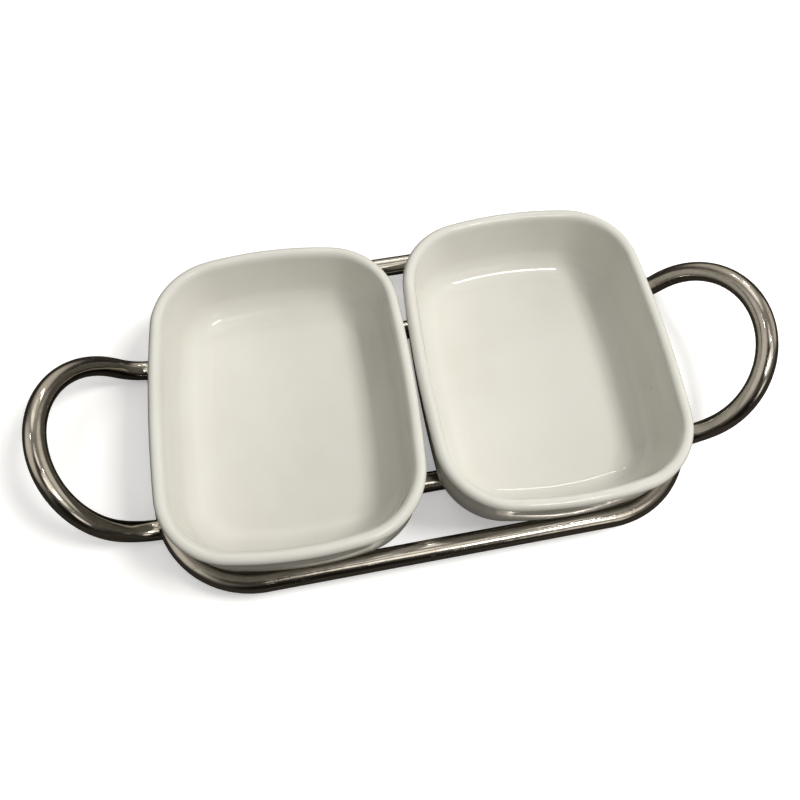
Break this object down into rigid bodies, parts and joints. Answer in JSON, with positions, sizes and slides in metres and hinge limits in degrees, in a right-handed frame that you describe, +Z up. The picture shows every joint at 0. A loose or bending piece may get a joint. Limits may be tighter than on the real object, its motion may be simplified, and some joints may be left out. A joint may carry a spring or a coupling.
{
  "type": "chip and dip server",
  "caption": "Stand of bent tube with a loop handle at each end and a ring that holds two lift-out, rounded rectangular porcelain dishes side by side.",
  "frame": {"origin": "on the table, under the middle of the tube stand", "axes": "+X along the long axis from the left handle to the right handle, +Y to the back, +Z up"},
  "size_m": [0.4456, 0.2072, 0.0688],
  "materials": {
    "porcelain": "glossy clear-glazed off-white porcelain with faint grey specks",
    "polished_tube": "polished nickel-plated steel tube, slightly tarnished, with fine scratches",
    "braze": "satin nickel-plated braze fillet"
  },
  "bodies": {
    "stand": {"ring_front_rail": "polished_tube", "ring_back_rail": "polished_tube", "ring_bow_left": "polished_tube", "ring_bow_right": "polished_tube", "lower_rail_front": "polished_tube", "lower_rail_back": "polished_tube", "handle_left": "polished_tube", "handle_right": "polished_tube", "braze_joints": "braze"},
    "left_dish": {"dish_left": "porcelain"},
    "right_dish": {"dish_right": "porcelain"}
  },
  "joints": [
    {"name": "left_dish_lift", "type": "slide", "parent": "stand", "child": "left_dish", "axis": [0, 0, 1], "range_m": [0, 0.1]},
    {"name": "right_dish_lift", "type": "slide", "parent": "stand", "child": "right_dish", "axis": [0, 0, 1], "range_m": [0, 0.1]}
  ]
}
